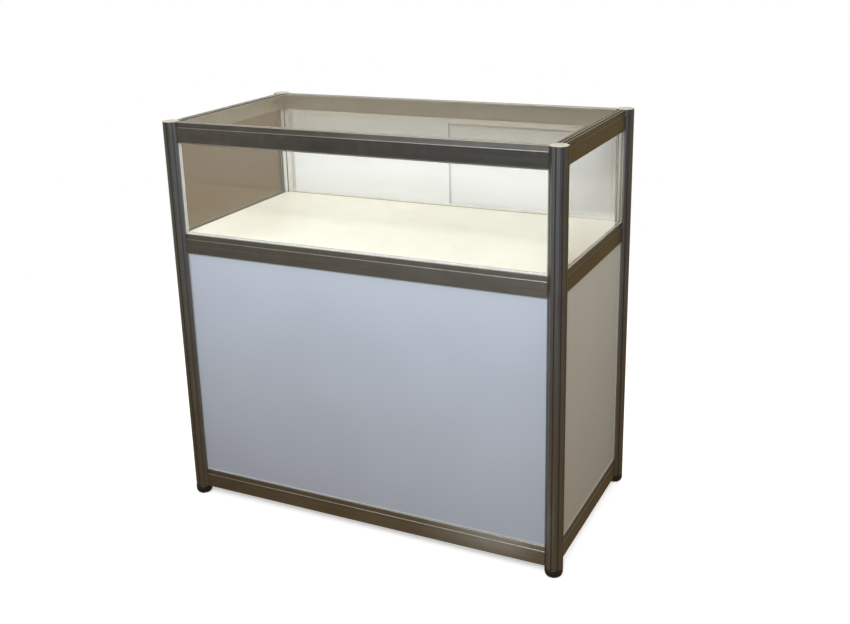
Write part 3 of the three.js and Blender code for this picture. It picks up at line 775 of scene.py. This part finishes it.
def add_thread(builder, centre, base, turns):
    """A closed ridge that winds up the stud and fades out at both ends."""
    steps, pitch, root = STUD["steps"], STUD["pitch"], STUD["root"]
    last = turns * steps
    rows = [[] for _ in THREAD]
    for k in range(last + 1):
        angle = TAU * k / steps
        direction = Vector((math.cos(angle), math.sin(angle), 0))
        fade = min(1, k / steps, (last - k) / steps)
        radii = {"root": root, "crest": root + (STUD["radius"] - root) * fade}
        for row, (kind, lift) in zip(rows, THREAD):
            rise = Vector((0, 0, base + pitch * (k / steps + lift)))
            row.append(builder.verts.new(centre + direction * radii[kind] + rise))
    for k in range(last):
        for low, high in zip(rows, rows[1:] + rows[:1]):
            builder.faces.new((low[k], low[k + 1], high[k + 1], high[k]))
    for k in (0, last):
        builder.faces.new([row[k] for row in rows])


def add_foot(corner):
    post = middle_of(f"post_{corner}")
    centre = Vector((post.x, post.y, 0))
    body = f"foot_{corner}"
    builder = bmesh.new()
    add_turned(builder, foot_profile(), centre, 64)
    foot = piece(f"foot_body_{corner}", builder, FOOT_PLASTIC, body)
    smooth_by_angle(foot, math.radians(38))
    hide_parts(f"levelling_foot_{corner}")

    start = FOOT_TOP - STUD["sunk"]
    turns = int((STUD["top"] - start) / STUD["pitch"]) - 2
    builder = bmesh.new()
    add_thread(builder, centre, start + STUD["runout"], turns)
    core, top = STUD["root"] + 0.03 * MM, STUD["top"]
    shoulder = (core, top - 1.2 * MM)
    profile = [(0, start), (core, start), shoulder, (core - 1.1 * MM, top), (0, top)]
    add_turned(builder, profile, centre, STUD["steps"])
    stud = piece(f"foot_stud_{corner}", builder, STEEL, body)
    smooth_by_angle(stud)
    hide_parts(f"levelling_foot_{corner}")


# ---------------------------------------------------------------- build the pieces

add_gaskets()
add_tape()
add_tension_locks()
for corner_name in CORNERS:
    add_foot(corner_name)


# ---------------------------------------------------------------- floor, world and lights


# What polished surfaces mirror, by height: (direction's Z + 0.5, colour) stops for each wall.
# Only clean glass mirrors back_clean, with its strip of bright floor behind the counter.
ROOM = {
    "front_left": [(0.15, (0.32, 0.28, 0.20)), (0.31, (0.22, 0.16, 0.06)), (0.47, (0.16, 0.12, 0.07)),
                   (0.64, (0.30, 0.26, 0.21)), (1.0, (0.62, 0.60, 0.56))],
    "front_right": [(0.17, (0.47, 0.52, 0.54)), (0.32, (0.13, 0.165, 0.21)), (0.47, (0.14, 0.16, 0.20)),
                    (0.64, (0.60, 0.64, 0.70)), (1.0, (0.62, 0.60, 0.56))],
    "front_far": [(0.15, (0.44, 0.40, 0.36)), (0.22, (0.36, 0.36, 0.38)), (0.33, (0.30, 0.38, 0.50)),
                  (0.64, (0.38, 0.44, 0.54)), (1.0, (0.62, 0.60, 0.56))],
    "back_left": [(0.2, (0.26, 0.18, 0.08)), (0.34, (0.33, 0.23, 0.10)), (0.55, (0.35, 0.30, 0.22)),
                  (0.85, (0.42, 0.38, 0.30)), (1.0, (0.62, 0.60, 0.56))],
    "back_right": [(0.2, (0.26, 0.18, 0.08)), (0.34, (0.33, 0.23, 0.10)), (0.55, (0.16, 0.13, 0.09)),
                   (0.8, (0.2, 0.18, 0.15)), (1.0, (0.62, 0.60, 0.56))],
    "back_clean": [(0.205, (0.30, 0.22, 0.10)), (0.225, (0.80, 0.75, 0.66)), (0.246, (1.2, 1.17, 1.1)),
                   (0.252, (0.34, 0.32, 0.30)), (0.275, (0.32, 0.30, 0.28)), (0.29, (0.05, 0.04, 0.03)),
                   (0.55, (0.16, 0.13, 0.09)), (0.8, (0.2, 0.18, 0.15)), (1.0, (0.62, 0.60, 0.56))],
    "left": [(0.15, (0.36, 0.27, 0.15)), (0.33, (0.42, 0.39, 0.35)), (0.64, (0.42, 0.40, 0.37)),
             (1.0, (0.62, 0.60, 0.56))],
    "right": [(0.15, (0.19, 0.14, 0.08)), (0.33, (0.19, 0.19, 0.18)), (0.62, (0.20, 0.20, 0.19)),
              (0.8, (0.25, 0.24, 0.2)), (1.0, (0.62, 0.60, 0.56))],
}


# A sunlit spot on the boards in front of the counter, seen only in polished surfaces.
SPOT_X = (0.1, 0.3, 0.36, 0.44)
SPOT_Y = (-0.28, -0.36, -0.46, -0.56)
SPOT_TONE = (0.8, 0.75, 0.68)


def add_floor():
    """A pale floor that fades into the backdrop. Polished surfaces mirror it as dim boards."""
    builder = bmesh.new()
    bmesh.ops.create_circle(builder, cap_ends=True, radius=2.6, segments=128)
    mesh = bpy.data.meshes.new("studio_floor")
    builder.to_mesh(mesh)
    builder.free()
    floor = bpy.data.objects.new("studio_floor", mesh)
    floor.location.z = -0.0002
    bpy.context.scene.collection.objects.link(floor)
    g = Graph("studio_floor")
    distance = g.add("ShaderNodeVectorMath", {"operation": "LENGTH"})
    g.put(distance.inputs[0], g.add("ShaderNodeTexCoord").outputs["Object"])
    path = g.add("ShaderNodeLightPath")
    cloud = g.noise(g.coords(), 1.4, 2.0)
    pale = g.principled(
        Base_Color=g.ramp(cloud, [(0.3, grey(0.84)), (0.7, grey(0.88))]),
        Roughness=0.8,
        Emission_Color=(1, 1, 1, 1),
        Emission_Strength=0.5,
    )
    warm = g.add("ShaderNodeBsdfDiffuse", Color=(*srgb(112, 98, 78), 1))
    place = g.place()
    spot = g.math("MULTIPLY", g.window(place["X"], *SPOT_X), g.window(place["Y"], *SPOT_Y))
    boards = g.ramp(cloud, [(0.3, (0.2, 0.13, 0.06)), (0.7, (0.25, 0.17, 0.08))])
    wood = g.add("ShaderNodeEmission", Color=g.blend(spot, boards, (*SPOT_TONE, 1)))
    clear = g.add("ShaderNodeBsdfTransparent")
    paint = g.choose(path.outputs["Is Glossy Ray"], warm, wood)
    paint = g.choose(path.outputs["Is Camera Ray"], paint, pale)
    far = g.remap(distance.outputs["Value"], 1.3, 2.5, 0.0, 1.0)
    floor.data.materials.append(g.surface(g.choose(far, paint, clear)))


def add_world():
    """White behind the object, an even glow on it, and a dim warm room in its glass and metal."""
    g = Graph("studio", world=True)
    path = g.add("ShaderNodeLightPath").outputs
    direction = g.add("ShaderNodeTexCoord").outputs["Generated"]
    axes = g.add("ShaderNodeSeparateXYZ", Vector=direction).outputs
    across = g.remap(axes["X"], -0.62, -0.34, 0.0, 1.0)
    ahead = g.remap(axes["Y"], 0.2, -0.5, 0.0, 1.0)
    far = g.remap(axes["X"], 0.0, 0.5, 0.0, 1.0)
    right = g.remap(axes["X"], 0.72, 0.92, 0.0, 1.0)
    left = g.remap(axes["X"], -0.72, -0.9, 0.0, 1.0)
    level = g.remap(axes["Z"], -0.5, 0.5, 0.0, 1.0)
    walls = {name: g.ramp(level, stops) for name, stops in ROOM.items()}
    front = g.blend(far, g.blend(across, walls["front_left"], walls["front_right"]), walls["front_far"])
    back_right = g.blend(path["Is Singular Ray"], walls["back_right"], walls["back_clean"])
    back = g.blend(across, walls["back_left"], back_right)
    room = g.blend(left, g.blend(right, g.blend(ahead, back, front), walls["right"]), walls["left"])
    wave = g.noise(direction, 3.0, 2.0)
    behind = g.ramp(wave, [(0.35, (0.15, 0.09, 0.03)), (0.65, (0.2, 0.13, 0.06))])
    behind = g.blend(ahead, behind, (0.9, 0.9, 0.88, 1))

    lit = g.add("ShaderNodeBackground", Color=(1.0, 0.985, 0.96, 1), Strength=0.38)
    mirrored = g.add("ShaderNodeBackground", Color=room)
    seen_through = g.add("ShaderNodeBackground", Color=behind)
    white = g.add("ShaderNodeBackground", Color=(1, 1, 1, 1))
    bounced = g.math("GREATER_THAN", path["Diffuse Depth"], 0.5)
    result = g.choose(path["Is Transmission Ray"], mirrored, seen_through)
    result = g.choose(bounced, result, lit)
    bpy.context.scene.world = g.surface(g.choose(path["Is Camera Ray"], result, white))


def add_area(name, place, target, size, power, colour, seen):
    data = bpy.data.lights.new(name, "AREA")
    data.shape = "RECTANGLE"
    data.size, data.size_y = size
    data.energy = power
    data.color = colour
    lamp = bpy.data.objects.new(name, data)
    lamp.location = place
    facing = (Vector(target) - Vector(place)).to_track_quat("-Z", "Y")
    lamp.rotation_euler = facing.to_euler()
    lamp.visible_glossy = seen
    lamp.visible_transmission = False
    bpy.context.scene.collection.objects.link(lamp)
    return lamp


# (name, place, target, size, watts, colour, whether polished surfaces mirror it)
LIGHTS = (
    ("key", (0.5, -2.6, 2.6), (0.1, 0, 0.5), (1.8, 1.2), 73, (0.96, 0.98, 1.0), True),
    ("overhead", (-1.0, 0.1, 2.8), (-0.2, 0, 0.7), (2.4, 1.6), 19, (1.0, 0.99, 0.97), True),
    ("fill", (2.5, -0.4, 2.3), (0, 0, 0.5), (1.4, 1.4), 28, (1.0, 0.98, 0.96), False),
    ("rear", (-0.4, 2.8, 2.0), (0, 0, 0.6), (2.0, 1.2), 24, (1.0, 0.97, 0.93), False),
)
# Two lamps in one place that light only the lips of the top beams: (name, sides, watts, colour)
LIP_GLOWS = (
    ("lip_glow", ("front", "left", "back"), 18, (1.0, 0.96, 0.88)),
    ("lip_glow_right", ("right",), 8, (1.0, 0.8, 0.52)),
)


def add_lights():
    for light in LIGHTS:
        add_area(*light)
    for name, sides, power, colour in LIP_GLOWS:
        glow = add_area(name, (-1.4, 2.6, 1.75), (0, 0, 1.0), (3.0, 0.7), power, colour, True)
        beams = bpy.data.collections.new(f"{name}_receivers")
        for side in sides:
            beams.objects.link(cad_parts[f"beam_top_{side}"])
        glow.light_linking.receiver_collection = beams


# ---------------------------------------------------------------- camera

CAMERA = {
    "place": (1.1964, -2.3286, 1.4287),
    "azimuth": 26.76,
    "pitch": 17.07,
    "roll": -1.63,
    "focal": 1079.4,          # in units of which the image is 850 wide
    "centre": (410.4, 264.0),
    "image": (850, 624),
}


def add_camera():
    azimuth, pitch, roll = (math.radians(CAMERA[key]) for key in ("azimuth", "pitch", "roll"))
    ahead = Vector((-math.sin(azimuth), math.cos(azimuth), 0))
    forward = ahead * math.cos(pitch) - Vector((0, 0, math.sin(pitch)))
    level = Vector((math.cos(azimuth), math.sin(azimuth), 0))
    upward = level.cross(forward)
    right = level * math.cos(roll) + upward * math.sin(roll)
    up = upward * math.cos(roll) - level * math.sin(roll)
    data = bpy.data.cameras.new("camera")
    width, height = CAMERA["image"]
    data.sensor_width = 36
    data.lens = CAMERA["focal"] / width * data.sensor_width
    data.shift_x = (width / 2 - CAMERA["centre"][0]) / width
    data.shift_y = (CAMERA["centre"][1] - height / 2) / width
    data.clip_start = 0.02
    camera = bpy.data.objects.new("camera", data)
    turn = Matrix((right, up, -forward)).transposed().to_4x4()
    camera.matrix_world = Matrix.Translation(CAMERA["place"]) @ turn
    bpy.context.scene.collection.objects.link(camera)
    bpy.context.scene.camera = camera


add_floor()
add_world()
add_lights()
add_camera()
bpy.context.scene.view_settings.view_transform = "Standard"
bpy.context.scene.view_settings.look = "None"
